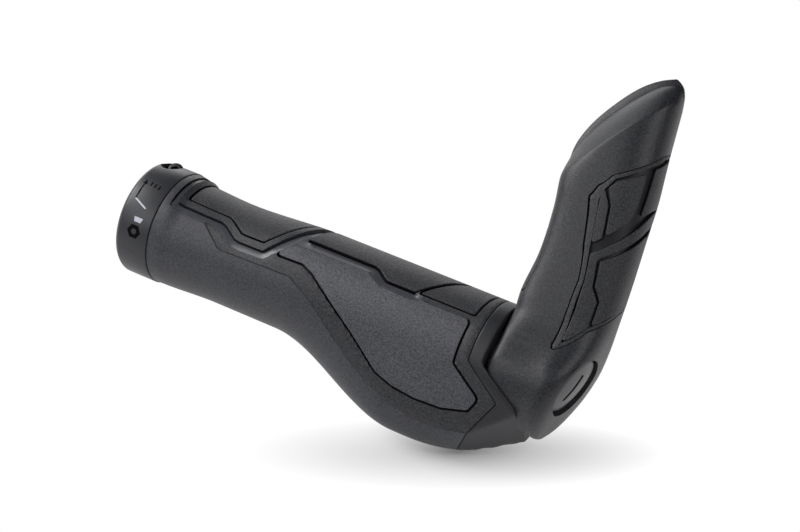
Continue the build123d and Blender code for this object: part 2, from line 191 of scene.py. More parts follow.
def moved_in(points, distance):
    """A closed outline moved inward; distance is one length, or one for each edge."""
    p = np.asarray(points, float)
    n = len(p)
    area = np.sum(p[:, 0] * np.roll(p[:, 1], -1) - np.roll(p[:, 0], -1) * p[:, 1])
    side = 1 if area > 0 else -1
    gaps = np.broadcast_to(np.asarray(distance, float), (n,))
    edges = np.roll(p, -1, 0) - p
    edges /= np.linalg.norm(edges, axis=1)[:, None]
    normals = np.column_stack([-edges[:, 1], edges[:, 0]]) * side
    out = []
    for i in range(n):
        m, k = normals[i - 1], normals[i]
        cross = m[0] * k[1] - m[1] * k[0]
        if abs(cross) < 0.08:
            out.append(p[i] + (m * gaps[i - 1] + k * gaps[i]) / 2)
            continue
        rhs = np.array([m @ p[i] + gaps[i - 1], k @ p[i] + gaps[i]])
        out.append(np.linalg.solve(np.array([m, k]), rhs))
    return np.array(out)


def line_distance(p, line, closed=False):
    """Distance from each point of p to a line of points."""
    line = np.asarray(line, float)
    starts = line if closed else line[:-1]
    ends = np.roll(line, -1, 0) if closed else line[1:]
    best = np.full(len(p), 1e9)
    for a, b in zip(starts, ends):
        d = b - a
        t = np.clip(((p - a) @ d) / max(d @ d, 1e-12), 0, 1)
        best = np.minimum(best, np.linalg.norm(p - a - t[:, None] * d, axis=1))
    return best


def is_inside(p, outline):
    """Which points lie inside a closed outline."""
    a = np.asarray(outline, float)
    b = np.roll(a, -1, 0)
    inside = np.zeros(len(p), bool)
    for (x0, y0), (x1, y1) in zip(a, b):
        if y0 != y1:
            crosses = (y0 > p[:, 1]) != (y1 > p[:, 1])
            at = x0 + (p[:, 1] - y0) * (x1 - x0) / (y1 - y0)
            inside ^= crosses & (p[:, 0] < at)
    return inside


def depth_in(p, outline):
    """Distance inside a closed outline, negative outside it."""
    return np.where(is_inside(p, outline), 1, -1) * line_distance(p, outline, True)


# ------------------------------------------------------------------ the two curved surfaces

def grip_radius(x, angle):
    """Radius of the grip's skin at an angle in degrees from +y towards +z."""
    waist = WAIST_DEPTH * eased(x, 14, 18) * (1 - eased(x, 32, 62))
    flare = FLARE * (1 - eased(x, SEAM_X, 32))
    past = np.maximum(x - WING_PEAK, 0) / WING_FALL
    reach = WING_REACH * eased(x, WING_START, WING_FULL) * (1 - past ** 2.3)
    off = (angle - WING_ANGLE + 180) % 360 - 180
    spread = np.where(off > 0, SPREAD_UNDER, SPREAD_TOP)
    c, s = np.cos(np.radians(angle)), np.sin(np.radians(angle))
    skin = GRIP_RADIUS + flare - waist * (0.5 + 0.5 * c) + reach * np.exp(-((off / spread) ** 2))
    slope = FACET_NORMAL[1] * c + FACET_NORMAL[2] * s
    facet = (FACET_REACH - FACET_NORMAL[0] * x) / np.maximum(slope, 1e-3)
    return np.where(slope > 0.02, np.minimum(skin, facet), skin)


def grip_angle(w):
    """Angle in degrees at w round the grip."""
    return 90 - np.degrees(w / GRIP_RADIUS)


def grip_base(x, w):
    """Point of the grip's skin at x along it and w round it."""
    angle = grip_angle(w)
    r = grip_radius(x, angle)
    a = np.radians(angle)
    return np.stack([x, r * np.cos(a), r * np.sin(a)], -1)


def grip_palm(points):
    """Plan points (x, y) on the palm side as (x, w)."""
    p = np.asarray(points, float)
    low, high = np.zeros(len(p)), np.full(len(p), 180.0)
    for _ in range(40):
        mid = (low + high) / 2
        over = grip_radius(p[:, 0], mid) * np.cos(np.radians(mid)) > p[:, 1]
        low, high = np.where(over, mid, low), np.where(over, high, mid)
    return np.column_stack([p[:, 0], GRIP_RADIUS * np.radians(90 - low)])


def horn_values(v):
    """Inboard edge, outboard edge, half thickness and squareness of the horn at v."""
    table = np.array(HORN)
    keys = table[:, 0]
    slopes = np.gradient(table[:, 1:], keys, axis=0)
    i = np.clip(np.searchsorted(keys, v) - 1, 0, len(keys) - 2)
    span = (keys[i + 1] - keys[i])
    t = np.clip((v - keys[i]) / span, 0, 1)[..., None]
    span = span[..., None]
    a, b = table[i, 1:], table[i + 1, 1:]
    out = ((2 * t ** 3 - 3 * t ** 2 + 1) * a + (t ** 3 - 2 * t ** 2 + t) * span * slopes[i]
           + (3 * t ** 2 - 2 * t ** 3) * b + (t ** 3 - t ** 2) * span * slopes[i + 1])
    return out[..., 0], out[..., 1], np.maximum(out[..., 2], 0.1), out[..., 3]


def horn_height(v):
    """Height up the horn: round the heel below 0, straight above, squashed at the tip."""
    low, high, loss = TIP_SQUASH
    tip = v - loss * np.clip((v - low) / (high - low), 0, 1) ** 2
    heel = EYE_BASE * np.sin(np.clip(v, -24.4, 0) / EYE_BASE) * 1.03
    return np.where(v < 0, heel, tip)


def horn_base(t, v):
    """Point of the horn's surface; t is the length round it from the palm face, outboard +."""
    left, right, thick, square = horn_values(v)
    a = math.pi / 2 - t / HORN_GIRTH
    c, s = np.cos(a), np.sin(a)
    corner = eased(-c, 0, 0.15) * eased(s, 0, 0.15)
    square = square + corner * (5 * eased(v, -14, -4) * (1 - eased(v, 6, 16))
                                + 1.4 * eased(v, 8, 20) * (1 - eased(v, 50, 64)))
    x = (left + right) / 2 + (right - left) / 2 * np.sign(c) * np.abs(c) ** (2 / square)
    z = thick * np.sign(s) * np.abs(s) ** (2 / square)
    y = horn_height(v)
    swell = 1 + 0.05 * eased(x, 134.5, 138.5) * (1 - eased(y, 4, 14))
    y, z = y * np.where(y < 4, swell, 1), z * swell
    (x0, y0), (x1, y1) = TIP_CREASE
    length = math.hypot(x1 - x0, y1 - y0)
    past = ((y - y0) * (x1 - x0) - (x - x0) * (y1 - y0)) / length
    fall = TIP_FALL * (past + np.sqrt(past * past + 0.03)) / 2
    z = np.where((z > 0) & (y > 40), z - np.minimum(fall, 0.85 * z), z)
    return np.stack([x, y, z], -1)


def horn_plan(points):
    """Plan points (x, y) on the horn's palm side, or wrapped round its edges, as (t, v)."""
    p = np.asarray(points, float)
    left, right, _, square = horn_values(p[:, 1])
    half = (right - left) / 2
    u = np.clip((p[:, 0] - (left + right) / 2) / half, -1, 1)
    t = HORN_EDGE - HORN_GIRTH * np.arccos(np.sign(u) * np.abs(u) ** (square / 2))
    t += np.maximum(p[:, 0] - right, 0) - np.maximum(left - p[:, 0], 0)
    return np.column_stack([t, p[:, 1]])


def lifted(surface, points, lift):
    """The points (u, v) of a surface, moved out along its normal by lift."""
    u, v, e = points[:, 0], points[:, 1], 0.05
    lift = np.broadcast_to(np.asarray(lift, float), (len(points),))
    du = surface(u + e, v) - surface(u - e, v)
    dv = surface(u, v + e) - surface(u, v - e)
    n = np.cross(du, dv)
    n /= np.maximum(np.linalg.norm(n, axis=1), 1e-9)[:, None]
    return surface(u, v) + n * lift[:, None]


# ------------------------------------------------------------------ meshes

def tessellated(boundary, lines, spacing):
    """Points and triangles that fill a boundary and follow the given lines."""
    rings = [(np.asarray(boundary, float), True)] + lines
    points, edges = [], []
    for line, closed in rings:
        first = len(points)
        points += [tuple(q) for q in line]
        count = len(line)
        edges += [(first + k, first + k + 1) for k in range(count - 1)]
        if closed:
            edges.append((first + count - 1, first))
    low, high = np.min(boundary, 0), np.max(boundary, 0)
    us = np.arange(low[0] + spacing / 2, high[0], spacing)
    vs = np.arange(low[1] + spacing / 2, high[1], spacing)
    grid = np.array([(u + (k % 2 - 0.5) * spacing / 2, v) for k, v in enumerate(vs) for u in us])
    grid = grid[is_inside(grid, boundary)]
    near = np.full(len(grid), 1e9)
    for line, closed in rings:
        near = np.minimum(near, line_distance(grid, line, closed))
    points += [tuple(q) for q in grid[near > 0.45 * spacing]]
    verts, _, faces, *_ = delaunay_2d_cdt([Vector(q) for q in points], edges, [], 0, 1e-4)
    verts = np.array([tuple(q) for q in verts])
    faces = np.array([f for f in faces if len(f) == 3])
    keep = is_inside(verts[faces].mean(1), boundary)
    return verts, faces[keep]


def reworked(mesh, change):
    """Applies change to a mesh as a bmesh, then turns its faces outward."""
    work = bmesh.new()
    work.from_mesh(mesh)
    change(work)
    bmesh.ops.recalc_face_normals(work, faces=work.faces)
    work.to_mesh(mesh)
    work.free()


def drop_degenerate(work):
    """Removes faces and edges of no size."""
    bmesh.ops.dissolve_degenerate(work, dist=1e-7, edges=work.edges)


def shared_points(points):
    """Which points to keep, and the kept point of each, where some lie in one place."""
    _, first, same = np.unique(np.round(points * 2000).astype(np.int64), axis=0,
                               return_index=True, return_inverse=True)
    return first, same.reshape(-1)


def smoothed(mesh, sharp):
    """Smooth shading, but for edges of more than sharp degrees."""
    mesh.shade_smooth()
    mesh.set_sharp_from_angle(angle=math.radians(sharp))


def new_piece(name, verts, faces, materials, indices=None, sharp=35):
    """An object from points in the working frame."""
    mesh = bpy.data.meshes.new(name)
    mesh.from_pydata([tuple(q) for q in verts], [], [tuple(int(k) for k in f) for f in faces])
    mesh.transform(TO_ROW)
    for material in materials:
        mesh.materials.append(material)
    if indices is not None:
        mesh.polygons.foreach_set("material_index", np.asarray(indices, np.int32))
    reworked(mesh, drop_degenerate)
    smoothed(mesh, sharp)
    piece = bpy.data.objects.new(name, mesh)
    bpy.context.scene.collection.objects.link(piece)
    return piece


def shell(name, top, bottom, faces, materials, indices=0, sharp=35, wall=None):
    """A closed piece: a top sheet, the same sheet turned over below it, and side walls."""
    indices = np.broadcast_to(indices, (len(faces),))
    first, same = shared_points(top)
    top, bottom = top[first], bottom[first]
    faces = same[faces]
    whole = (faces[:, 0] != faces[:, 1]) & (faces[:, 1] != faces[:, 2]) & (faces[:, 0] != faces[:, 2])
    faces, indices = faces[whole], indices[whole]
    count = len(top)
    sides = {}
    for k, f in enumerate(faces):
        for a, b in ((f[0], f[1]), (f[1], f[2]), (f[2], f[0])):
            key = (min(a, b), max(a, b))
            sides.setdefault(key, []).append((a, b, indices[k]))
    walls, marks = [], []
    for found in sides.values():
        if len(found) == 1:
            a, b, mark = found[0]
            walls.append((b, a, a + count, b + count))
            marks.append(mark if wall is None else wall)
    all_faces = [tuple(f) for f in faces] + [(f[2] + count, f[1] + count, f[0] + count) for f in faces]
    all_marks = list(indices) + [0] * len(faces) + marks
    return new_piece(name, np.vstack([top, bottom]), all_faces + walls, materials, all_marks, sharp)


def lathe(name, profile, materials, steps=144, place=None):
    """A closed profile (along, radius) turned about the x axis of the working frame."""
    profile = np.asarray(profile, float)
    rows = []
    for k in range(steps):
        a = 2 * math.pi * k / steps
        rows.append(np.column_stack([profile[:, 0], profile[:, 1] * math.cos(a),
                                     profile[:, 1] * math.sin(a)]))
    verts = np.vstack(rows)
    if place is not None:
        verts = np.array([tuple(place @ Vector(q)) for q in verts])
    n = len(profile)
    faces = []
    for k in range(steps):
        for i in range(n):
            j = (i + 1) % n
            m = (k + 1) % steps
            faces.append((k * n + i, k * n + j, m * n + j, m * n + i))
    piece = new_piece(name, verts, faces, materials)

    def weld(work):
        bmesh.ops.remove_doubles(work, verts=work.verts, dist=2e-6)
        drop_degenerate(work)

    reworked(piece.data, weld)
    return piece


def carve(piece, tool, operation="DIFFERENCE"):
    """Cuts a tool piece out of a piece, or joins it on, and removes the tool."""
    change = piece.modifiers.new("carve", "BOOLEAN")
    change.operation, change.object, change.solver = operation, tool, "EXACT"
    depsgraph = bpy.context.evaluated_depsgraph_get()
    mesh = bpy.data.meshes.new_from_object(piece.evaluated_get(depsgraph))
    piece.modifiers.clear()
    old, piece.data = piece.data, mesh
    bpy.data.meshes.remove(old)
    bpy.data.meshes.remove(tool.data)
    smoothed(piece.data, 35)


def claim(piece, node, body):
    """The piece shows a CAD node: the node is hidden and the piece joins its body."""
    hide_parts(node)
    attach(piece, body)


def place_along(origin, x_axis, z_axis):
    """Matrix whose x and z axes point the given ways, in the working frame."""
    x, z = Vector(x_axis).normalized(), Vector(z_axis).normalized()
    y = z.cross(x)
    m = Matrix((x, y, z)).transposed().to_4x4()
    m.translation = Vector(origin)
    return m


def round_rod(radius, start, end):
    """Closed profile of a plain rod for lathe()."""
    return [(start, 0.0), (start, radius), (end, radius), (end, 0.0)]


def block(name, size, place, bevel=0.0, materials=()):
    """A box, its edges bevelled, in the working frame."""
    made = bmesh.new()
    bmesh.ops.create_cube(made, size=1.0, matrix=Matrix.Diagonal((*size, 1)))
    if bevel:
        bmesh.ops.bevel(made, geom=made.edges[:], offset=bevel, segments=5, profile=0.5,
                        affect="EDGES")
    verts = np.array([tuple(place @ q.co) for q in made.verts])
    faces = [[q.index for q in f.verts] for f in made.faces]
    made.free()
    return new_piece(name, verts, faces, materials)


# ------------------------------------------------------------------ materials

COOL = (0.99, 1.0, 1.08)      # the cool cast of all the black plastics
MOTTLE, WEAR = 0.15, 0.06     # how far the colour and the roughness wander


def new_node(nodes, kind, **inputs):
    """A shader node with some inputs set; an underscore stands for the space in a name."""
    made = nodes.new("ShaderNode" + kind)
    for name, value in inputs.items():
        made.inputs[name.replace("_", " ")].default_value = value
    return made


def colour_mix(nodes, **inputs):
    """A node that mixes two colours."""
    made = nodes.new("ShaderNodeMix")
    made.data_type = "RGBA"
    for name, value in inputs.items():
        made.inputs[name].default_value = value
    return made


def shader(name, colour, roughness, grain=0.0, grain_size=0.4, metallic=0.0, specular=0.5,
           bump=0.02):
    """A moulded or machined surface: base colour with mottling, grain whose colour also paints shade in
    its pits and highlights on its tops, and worn roughness.
    """
    made = bpy.data.materials.new(name)
    made.use_nodes = True
    nodes, links = made.node_tree.nodes, made.node_tree.links
    skin = nodes["Principled BSDF"]
    where = nodes.new("ShaderNodeTexCoord")
    cloud = new_node(nodes, "TexNoise", Scale=90, Detail=4, Roughness=0.6)
    speck = new_node(nodes, "TexNoise", Scale=1000 / grain_size, Detail=2, Roughness=0.7)
    for noise in (cloud, speck):
        links.new(where.outputs["Object"], noise.inputs["Vector"])

    dark, light = [(*[c * t * share for c, t in zip(colour, COOL)], 1)
                   for share in (1 - MOTTLE, 1 + MOTTLE)]
    mottled = colour_mix(nodes, A=dark, B=light)
    links.new(cloud.outputs["Fac"], mottled.inputs["Factor"])
    # The speck's colour swing is the grain's own tone and also painted shade and highlight: it follows the
    # same noise as the bump, darker in the pits and lighter on the tops.
    spread = new_node(nodes, "MapRange", From_Min=0.35, From_Max=0.65,
                      To_Min=1 - 0.55 * grain, To_Max=1 + 0.75 * grain)
    links.new(speck.outputs["Fac"], spread.inputs["Value"])
    speck_tone_and_shade = colour_mix(nodes, Factor=1.0)
    speck_tone_and_shade.blend_type = "MULTIPLY"
    links.new(mottled.outputs["Result"], speck_tone_and_shade.inputs["A"])
    links.new(spread.outputs["Result"], speck_tone_and_shade.inputs["B"])
    links.new(speck_tone_and_shade.outputs["Result"], skin.inputs["Base Color"])

    worn = new_node(nodes, "MapRange", To_Min=roughness - WEAR, To_Max=roughness + WEAR)
    links.new(cloud.outputs["Fac"], worn.inputs["Value"])
    links.new(worn.outputs["Result"], skin.inputs["Roughness"])
    skin.inputs["Metallic"].default_value = metallic
    skin.inputs["Specular IOR Level"].default_value = specular
    relief = new_node(nodes, "Bump", Strength=max(grain, 0.05), Distance=bump * 0.001)
    links.new(speck.outputs["Fac"], relief.inputs["Height"])
    links.new(relief.outputs["Normal"], skin.inputs["Normal"])
    return made


STIPPLED = shader("stippled_rubber", (0.0195, 0.0199, 0.0218), 0.52, grain=1.2, grain_size=0.45,
                  specular=0.35, bump=0.12)
# The palm pad's stippled rubber, coloured about twice as light as the same rubber on the top pads as
# painted light on the palm.
LIT_PALM = shader("palm_painted_light", (0.043, 0.0436, 0.0476), 0.5, grain=1.0, grain_size=0.45, specular=0.4,
                   bump=0.12)
SMOOTH = shader("smooth_rubber", (0.035, 0.0356, 0.0388), 0.5, grain=0.7, grain_size=0.5, specular=0.35,
                bump=0.06)
# The channel's smooth rubber, its colour painted lighter as painted light on its sloping floor.
LIT_RIVER = shader("channel_painted_light", (0.048, 0.0488, 0.0528), 0.36, grain=0.2, grain_size=0.5)
CORE = shader("core_nylon", (0.016, 0.0163, 0.018), 0.45, grain=0.4, grain_size=0.4, specular=0.3)
# Near-black painted shade for pocket floors, pad walls and the feet of channel walls, where shade falls in
# the recesses.
GROOVE_SHADE = shader("groove_painted_shade", (0.004, 0.004, 0.0045), 0.6, grain=0.2, grain_size=0.5,
                      specular=0.15)
# The inlay's smooth sunken floor, coloured darker than its border as painted shade in the recess.
INLAY_SHADE = shader("inlay_painted_shade", (0.009, 0.0092, 0.0102), 0.5, grain=0.2, grain_size=0.5, specular=0.3)
HORN_SKIN = shader("horn_nylon", (0.019, 0.0194, 0.0213), 0.42, grain=0.9, grain_size=0.5, specular=0.32,
                   bump=0.07)
ANODISED = shader("anodised_ring", (0.027, 0.0275, 0.030), 0.42, grain=0.15, grain_size=0.25, metallic=0.2)
STEEL = shader("zinc_steel", (0.42, 0.43, 0.44), 0.32, grain=0.1, grain_size=0.3, metallic=0.9)
DISC = shader("disc_nylon", (0.022, 0.0224, 0.0245), 0.4, grain=0.2, grain_size=0.3)
BLACK_STEEL = shader("black_steel", (0.003, 0.003, 0.0034), 0.22, grain=0.05, grain_size=0.3, specular=0.2)
WHITE_MARK = shader("white_mark", (0.40, 0.41, 0.43), 0.5, grain=0.1)
BLACK_MARK = shader("black_mark", (0.0015, 0.0015, 0.0015), 0.6, grain=0.1, specular=0.05)


# ------------------------------------------------------------------ grip

def seam_x(line, w, where):
    """x of a plan line such as SEAM_PLAN at w round the grip, near x = where."""
    xs, ys = np.array(line)[:, 0], np.array(line)[:, 1]
    angle = grip_angle(w)
    x = np.full(len(w), float(where))
    for _ in range(60):
        y = grip_radius(np.minimum(x, 136), angle) * np.cos(np.radians(angle))
        x = x + (np.interp(-y, -ys, xs) - x) * 0.5
    return x


def round_line(line, where, step=0.7):
    """The whole of a plan line round the grip, as (x, w) from the underside and back to it."""
    w = np.linspace(-HALF_ROUND, HALF_ROUND, int(2 * HALF_ROUND / step) + 1)
    return np.column_stack([seam_x(line, w, where), w])


PALM = PALM_TOP + PALM_REST
PALM_OPEN = [PALM[6]] + PALM_REST + [PALM[0]]
PALM_GAPS = [0.06] * (len(PALM_TOP) - 1) + [GROOVE] * len(PALM_REST) + [GROOVE]


def palm_outline(inward=0.0, gaps=0.0):
    """The palm pad's outline on the grip, moved inward by inward and by each edge's gap."""
    distance = np.asarray(gaps, float) + inward
    return grip_palm(rounded(moved_in(PALM, distance), 1.6))


def palm_soft_edge():
    """The palm pad's grooved edges, all but its flush top edge."""
    closed = palm_outline(0.0, PALM_GAPS)
    top = grip_palm(rounded(PALM_TOP, 1.6, closed=False))
    return closed_gap(closed, line_distance(closed, top) > 0.25)


def closed_gap(ring, keep):
    """The kept run of a closed ring of points, as an open line."""
    start = int(np.argmax(keep & ~np.roll(keep, 1)))
    turned, kept = np.roll(ring, -start, 0), np.roll(keep, -start)
    return turned[:int(np.argmin(kept))] if not kept.all() else turned


def wrap_outline(points, inward=0.0):
    """Outline of a pad on the front of the grip."""
    return rounded(moved_in(points, inward), 0.8)


def pocket_outlines(inward=0.0):
    """Outlines of the four pads' pockets."""
    wrapped = [wrap_outline(p, inward) for p in (INNER_PAD, MIDDLE_PAD, OUTER_PAD)]
    return [palm_outline(inward)] + wrapped


def shade_lined(p):
    """Which points lie along the stretch of the channel that has a line of painted shade at its foot."""
    return (p[:, 0] > 15.6) & (p[:, 0] < 56)


def make_sleeve():
    """The rubber sleeve: river channel, textured fields, fine outlines and pad pockets."""
    outer_bank = rounded(CHANNEL_OUT, 1.0, closed=False)
    palm_top = grip_palm(rounded(PALM_TOP[:6], 1.0, closed=False))
    outer_bank = np.vstack([outer_bank[:-1], palm_top])
    strip = rounded(STRIP, 0.9)
    inner_bank = rounded(STRIP, 0.9, closed=False)
    middle = wrap_outline(MIDDLE_PAD)
    far_bank = [(94.5, 9.2), (90, 20), (64, FAR_SIDE)]
    river = np.vstack([outer_bank, far_bank, inner_bank[::-1]])
    field_line = grip_palm(rounded(FIELD_LINE, 2.5, closed=False))
    end = round_line(SEAM_PLAN, 118)
    field = np.vstack([outer_bank[outer_bank[:, 0] > FIELD_LINE[0][0]],
                       [(97.5, 9.2), (62, FAR_SIDE), (116, FAR_SIDE)],
                       end[(end[:, 1] < FAR_SIDE) & (end[:, 1] > field_line[-1, 1])][::-1],
                       field_line[::-1]])
    pockets = pocket_outlines()
    palm_rim = grip_palm(rounded(PALM_OPEN, 1.6, closed=False))

    def height(p):
        h = np.zeros(len(p))
        for line, half in ((field_line, FIELD_LINE_HALF),
                           (outer_bank[outer_bank[:, 0] < 50], BANK_LINE_HALF)):
            h -= LINE_DEPTH * np.clip(1 - line_distance(p, line) / half, 0, 1)
        out = line_distance(p, outer_bank)
        near = np.minimum(line_distance(p, inner_bank), line_distance(p, middle, True))
        share = out / np.maximum(out + near, 1e-6)
        left = eased(p[:, 1], 6, 8) * (1 - eased(p[:, 0], 14.6, 15.4))
        share = share * (1 - left) + (1 - 0.85 * share) * left
        floor = -RIVER_DEPTH * share * np.clip(out / BANK, 0, 1)
        in_river = is_inside(p, river)
        h = np.where(in_river, np.minimum(h, floor), h)
        deep = depth_in(p, strip)
        wall = -RIVER_DEPTH * (1 - np.clip(deep / STRIP_WALL, 0, 1)) * (1 - 0.85 * left)
        h = np.where((deep >= -1e-6) & (deep < STRIP_WALL) & (p[:, 1] < FAR_SIDE - 1), wall, h)
        lip = np.clip(1 - line_distance(p, palm_rim) / PALM_LIP_HALF, 0, 1)
        h -= PALM_LIP * lip * (depth_in(p, pockets[0]) <= 1e-6)
        for pocket in pockets:
            t = np.clip(depth_in(p, pocket) / CUT_WALL, 0, 1)
            h = h * (1 - t) - (PAD_DEPTH + 0.05) * t
        edge = np.minimum(p[:, 0] - SEAM_X, end_depth(p, end))
        return h - SEAM_LIP * np.clip(1 - edge / SEAM_LIP, 0, 1) ** 2

    lines = [(p, True) for p in pockets + pocket_outlines(CUT_WALL)]
    straight = rounded([(CHANNEL_START, FAR_SIDE - 1), (CHANNEL_START, 6.5)], 0.1, closed=False)
    lines += [(outer_bank, False), (strip, True), (rounded(moved_in(STRIP, STRIP_WALL), 0.8), True),
              (field_line, False), (side_line(straight, BANK), False),
              (side_line(straight, SHADE_WIDTH), False),
              (side_line(inner_bank[shade_lined(inner_bank)], -SHADE_WIDTH), False)]
    for side in (-FIELD_LINE_HALF, FIELD_LINE_HALF):
        lines.append((grip_palm(side_line(rounded(FIELD_LINE, 2.5, closed=False), side)), False))
    lines.append((grip_palm(side_line(rounded(PALM_OPEN, 1.6, closed=False), -PALM_LIP_HALF)), False))
    for inset in (0.1, 0.3):
        near_end = end.copy()
        near_end[:, 0] -= inset * 1.2
        lines.append((near_end[1:-1], False))
        start = np.column_stack([np.full(len(end), SEAM_X + inset), end[:, 1]])
        lines.append((start[1:-1], False))

    low = np.array([(x, -HALF_ROUND) for x in np.arange(SEAM_X, end[0, 0] - 0.4, 0.9)])
    boundary = np.vstack([low, end, (low * [1, -1])[::-1],
                          [(SEAM_X, w) for w in end[1:-1, 1][::-1]]])
    pts, faces = tessellated(boundary, lines, 1.2)
    mid = pts[faces].mean(1)
    # Pocket floors, the channel along the foot of the strip's wall and the outer bank's step at the
    # inboard end take the near-black colour as painted shade.
    stippled, smooth, channel, dark = range(4)
    in_strip, in_river = is_inside(mid, strip), is_inside(mid, river)
    marks = np.full(len(faces), smooth)
    marks[is_inside(mid, field) | in_strip] = stippled
    # The channel's faces take the colour painted lighter as painted light.
    marks[in_river & ~in_strip] = channel
    marks[(line_distance(mid, inner_bank) < SHADE_WIDTH) & shade_lined(mid) & ~in_strip] = dark
    marks[(line_distance(mid, outer_bank) < SHADE_WIDTH) & in_river & (mid[:, 0] < 14.5)] = dark
    for pocket in pockets:
        marks[is_inside(mid, pocket)] = dark
    top = lifted(grip_base, pts, height(pts))
    materials = [STIPPLED, SMOOTH, LIT_RIVER, GROOVE_SHADE]
    return shell("grip_sleeve_skin", top, inner_side(pts, CORE_RADIUS), faces, materials, marks, 30)


def inner_side(points, radius):
    """Points under a skin: at a radius, or clear of the horn's neck beyond the core's end."""
    a = np.radians(grip_angle(points[:, 1]))
    r = np.where(points[:, 0] > CORE_END + 0.02, NECK_CLEARANCE, radius)
    return np.column_stack([points[:, 0], r * np.cos(a), r * np.sin(a)])


def side_line(line, distance):
    """An open line moved sideways."""
    d = np.gradient(line, axis=0)
    d /= np.linalg.norm(d, axis=1)[:, None]
    return line + np.column_stack([-d[:, 1], d[:, 0]]) * distance


def end_depth(p, end):
    """How far inboard of an end line each point lies."""
    return np.interp(p[:, 1], end[:, 1], end[:, 0]) - p[:, 0]


def make_pad(name, surface, outline, spacing=1.1, depth=PAD_DEPTH, soft=None, rubber=STIPPLED):
    """A raised pad with rounded edges; outline(inward) gives its edge moved inward.

    soft is the line of the edges to round, where some of them stay flush."""
    rim = outline(0.0)
    rings = [(outline(d), True) for d in (0.07, 0.18, EDGE_ROUND, 0.6)]
    pts, faces = tessellated(rim, rings, spacing)
    deep = np.maximum(depth_in(pts, rim), 0) if soft is None else line_distance(pts, soft)
    t = np.clip(1 - deep / EDGE_ROUND, 0, 1)
    height = -EDGE_ROUND * (1 - np.sqrt(np.maximum(1 - t * t, 0)))
    top = lifted(surface, pts, height)
    bottom = lifted(surface, pts, -depth)
    # The pad's side walls take the near-black colour as painted shade.
    return shell(name, top, bottom, faces, [rubber, GROOVE_SHADE], sharp=50, wall=1)


def make_bezel():
    """The stiff core where it shows: the bare band and tail at the outboard end."""
    start, stop = round_line(SEAM_PLAN, 118), round_line(EDGE_PLAN, 124)
    start[:, 0] += 0.12
    lines = []
    for inset in (0.08, 0.22, 0.4):
        for line, sign in ((start, 1), (stop, -1)):
            moved = line.copy()
            moved[:, 0] += sign * inset * 1.25
            lines.append((moved[1:-1], False))
    for x in (CORE_END, CORE_END + 0.05):
        lines.append((np.array([(x, w) for w in np.arange(-HALF_ROUND + 1, -5, 0.8)]), False))
    seam_low = np.linspace(start[0, 0], stop[0, 0], 5)
    boundary = np.vstack([start[::-1], [(x, -HALF_ROUND) for x in seam_low[1:-1]], stop,
                          [(x, HALF_ROUND) for x in seam_low[1:-1][::-1]]])
    pts, faces = tessellated(boundary, lines, 0.9)
    edge = np.minimum(line_distance(pts, start), line_distance(pts, stop))
    t = np.clip(1 - edge / 0.4, 0, 1)
    height = -0.4 * (1 - np.sqrt(np.maximum(1 - t * t, 0)))
    top = lifted(grip_base, pts, height)
    return shell("core_bezel", top, inner_side(pts, CORE_RADIUS - 0.4), faces, [CORE], sharp=40)


def make_core_tube():
    """The core's plain tube, running on past the core's end as its spigot."""
    end = CORE_END + SPIGOT_LENGTH
    profile = [(SEAM_X, CORE_BORE + 0.3), (SEAM_X, CORE_RADIUS), (end - 0.3, CORE_RADIUS),
               (end, CORE_RADIUS - 0.3), (end, CORE_BORE + 0.2), (end - 0.2, CORE_BORE),
               (SEAM_X + 0.3, CORE_BORE)]
    return lathe("core_tube", profile, [CORE])


def make_grip():
    """The sleeve, its four pads and the core."""
    claim(make_sleeve(), "grip_sleeve", "grip")
    pads = [("palm_pad", lambda d: palm_outline(d, PALM_GAPS)),
            ("inner_top_pad", lambda d: wrap_outline(INNER_PAD, GROOVE + d)),
            ("middle_top_pad", lambda d: wrap_outline(MIDDLE_PAD, GROOVE + d)),
            ("outer_top_pad", lambda d: wrap_outline(OUTER_PAD, GROOVE + d))]
    for node, outline in pads:
        palm = node == "palm_pad"
        pad = make_pad(node + "_skin", grip_base, outline, soft=palm_soft_edge() if palm else None,
                       rubber=LIT_PALM if palm else STIPPLED)
        claim(pad, node, "grip")
    tabs = [sector(f"core_tab_{k}", SEAM_X - TAB_LENGTH, SEAM_X + 0.2, TAB_INNER, TAB_OUTER,
                   90 * k + 20, TAB_ARC, CORE) for k in range(4)]
    for piece in [make_bezel(), make_core_tube()] + tabs:
        claim(piece, "grip_core", "grip")


# ------------------------------------------------------------------ clamp ring

def ring_radius(x):
    """Outside radius of the clamp ring at x."""
    t = np.clip((CLAMP_START + CLAMP_RIM - np.asarray(x, float)) / CLAMP_RIM, 0, 1)
    return CLAMP_NOSE + (CLAMP_RADIUS - CLAMP_NOSE) * np.sqrt(1 - t * t)


def ring_base(x, w):
    """Point of the clamp ring's surface, w round it as on the grip."""
    a = np.radians(grip_angle(w))
    r = ring_radius(x)
    return np.stack([x, r * np.cos(a), r * np.sin(a)], -1)


def clamp_bolt_place():
    """Place of the inner clamp's screw, its x axis out of the head."""
    a = math.radians(CLAMP_SLIT_ANGLE)
    out, along = Vector((0, math.cos(a), math.sin(a))), Vector((0, -math.sin(a), math.cos(a)))
    centre = Vector((CLAMP_BOLT_X, 0, 0)) + out * CLAMP_BOLT_OFFSET + along * CLAMP_BOLT_HEAD
    return place_along(centre, along, (1, 0, 0))


def sector(name, start, end, inner, outer, middle, arc, material):
    """A piece of a ring about the bar axis."""
    angles = np.radians(np.linspace(middle - arc / 2, middle + arc / 2, 9))
    verts, faces = [], []
    for a in angles:
        verts += [(x, r * math.cos(a), r * math.sin(a))
                  for x, r in ((start, inner), (start, outer), (end, outer), (end, inner))]
    for k in range(len(angles) - 1):
        for i in range(4):
            j = (i + 1) % 4
            faces.append((4 * k + i, 4 * k + j, 4 * k + 4 + j, 4 * k + 4 + i))
    last = 4 * len(angles) - 4
    faces += [(0, 3, 2, 1), (last, last + 1, last + 2, last + 3)]
    return new_piece(name, verts, faces, [material])


